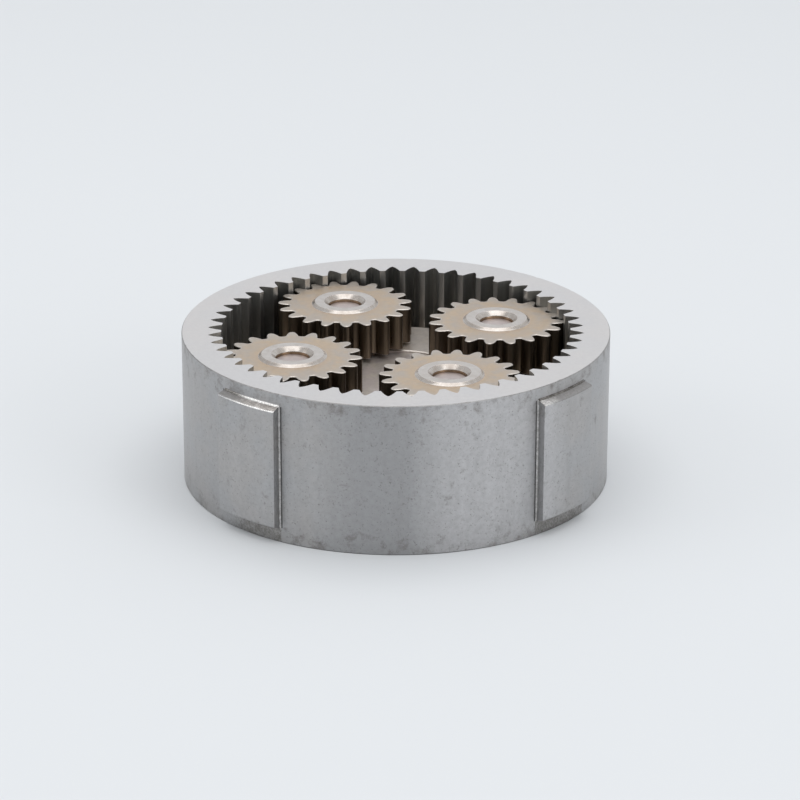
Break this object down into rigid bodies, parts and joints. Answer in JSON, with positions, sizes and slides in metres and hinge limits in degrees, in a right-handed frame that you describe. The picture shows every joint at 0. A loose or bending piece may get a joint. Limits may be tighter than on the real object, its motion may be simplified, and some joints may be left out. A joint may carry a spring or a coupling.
{
  "type": "planetary gearbox",
  "caption": "Planetary gear unit: a toothed ring with outer locking pads around planet gears on carrier plates, with a hexagonal drive socket in its lower end.",
  "frame": {"origin": "on the gear axis, at the ring gear's bottom face", "axes": "+Z along the gear axis, from the output end up to the motor end; -Y is the side seen in the picture"},
  "size_m": [0.0508, 0.0508, 0.0182],
  "materials": {
    "ring_steel": "as-sintered grey steel, satin and faintly mottled, with a ground top face",
    "planet_steel": "sintered steel with a warm tan cast, satin",
    "pin_steel": "ground steel with matt ends",
    "carrier_steel": "flat ground steel, satin",
    "sun_steel": "hardened steel, satin",
    "plate_steel": "stamped steel, brushed",
    "spring_steel": "blackened spring steel",
    "bush_bronze": "oiled sintered bronze"
  },
  "bodies": {
    "root": {"ring_gear": "ring_steel", "end_plate": "plate_steel", "output_bush": "bush_bronze", "retaining_ring": "spring_steel"},
    "stage1_carrier": {"stage1_carrier": "carrier_steel", "stage2_sun": "sun_steel", "stage1_pin_1": "pin_steel", "stage1_pin_2": "pin_steel", "stage1_pin_3": "pin_steel", "stage1_pin_4": "pin_steel"},
    "stage1_planet_1": {"stage1_planet_1": "planet_steel"},
    "stage1_planet_2": {"stage1_planet_2": "planet_steel"},
    "stage1_planet_3": {"stage1_planet_3": "planet_steel"},
    "stage1_planet_4": {"stage1_planet_4": "planet_steel"},
    "output_carrier": {"output_carrier": "carrier_steel", "stage2_pin_1": "pin_steel", "stage2_pin_2": "pin_steel", "stage2_pin_3": "pin_steel", "stage2_pin_4": "pin_steel"},
    "stage2_planet_1": {"stage2_planet_1": "planet_steel"},
    "stage2_planet_2": {"stage2_planet_2": "planet_steel"},
    "stage2_planet_3": {"stage2_planet_3": "planet_steel"},
    "stage2_planet_4": {"stage2_planet_4": "planet_steel"}
  },
  "joints": [
    {"name": "stage1_carrier_spin", "type": "hinge", "parent": "root", "child": "stage1_carrier", "pos_m": [0, 0, 0.0114], "axis": [0, 0, 1], "continuous": true},
    {"name": "stage1_planet_1_spin", "type": "hinge", "parent": "stage1_carrier", "child": "stage1_planet_1", "pos_m": [0.0121, 0.00622, 0.0148], "axis": [0, 0, 1], "continuous": true},
    {"name": "stage1_planet_2_spin", "type": "hinge", "parent": "stage1_carrier", "child": "stage1_planet_2", "pos_m": [-0.00622, 0.0121, 0.0148], "axis": [0, 0, 1], "continuous": true},
    {"name": "stage1_planet_3_spin", "type": "hinge", "parent": "stage1_carrier", "child": "stage1_planet_3", "pos_m": [-0.0121, -0.00622, 0.0148], "axis": [0, 0, 1], "continuous": true},
    {"name": "stage1_planet_4_spin", "type": "hinge", "parent": "stage1_carrier", "child": "stage1_planet_4", "pos_m": [0.00622, -0.0121, 0.0148], "axis": [0, 0, 1], "continuous": true},
    {"name": "output_carrier_spin", "type": "hinge", "parent": "root", "child": "output_carrier", "pos_m": [0, 0, 0.004], "axis": [0, 0, 1], "continuous": true},
    {"name": "stage2_planet_1_spin", "type": "hinge", "parent": "output_carrier", "child": "stage2_planet_1", "pos_m": [0.00416, 0.01295, 0.0077], "axis": [0, 0, 1], "continuous": true},
    {"name": "stage2_planet_2_spin", "type": "hinge", "parent": "output_carrier", "child": "stage2_planet_2", "pos_m": [-0.01295, 0.00416, 0.0077], "axis": [0, 0, 1], "continuous": true},
    {"name": "stage2_planet_3_spin", "type": "hinge", "parent": "output_carrier", "child": "stage2_planet_3", "pos_m": [-0.00416, -0.01295, 0.0077], "axis": [0, 0, 1], "continuous": true},
    {"name": "stage2_planet_4_spin", "type": "hinge", "parent": "output_carrier", "child": "stage2_planet_4", "pos_m": [0.01295, -0.00416, 0.0077], "axis": [0, 0, 1], "continuous": true}
  ],
  "couplings": [
    {"joint": "stage1_planet_1_spin", "follows": "stage1_carrier_spin", "ratio": -2.7895},
    {"joint": "stage1_planet_2_spin", "follows": "stage1_carrier_spin", "ratio": -2.7895},
    {"joint": "stage1_planet_3_spin", "follows": "stage1_carrier_spin", "ratio": -2.7895},
    {"joint": "stage1_planet_4_spin", "follows": "stage1_carrier_spin", "ratio": -2.7895},
    {"joint": "output_carrier_spin", "follows": "stage1_carrier_spin", "ratio": 0.22059},
    {"joint": "stage2_planet_1_spin", "follows": "stage1_carrier_spin", "ratio": -0.61533},
    {"joint": "stage2_planet_2_spin", "follows": "stage1_carrier_spin", "ratio": -0.61533},
    {"joint": "stage2_planet_3_spin", "follows": "stage1_carrier_spin", "ratio": -0.61533},
    {"joint": "stage2_planet_4_spin", "follows": "stage1_carrier_spin", "ratio": -0.61533}
  ]
}
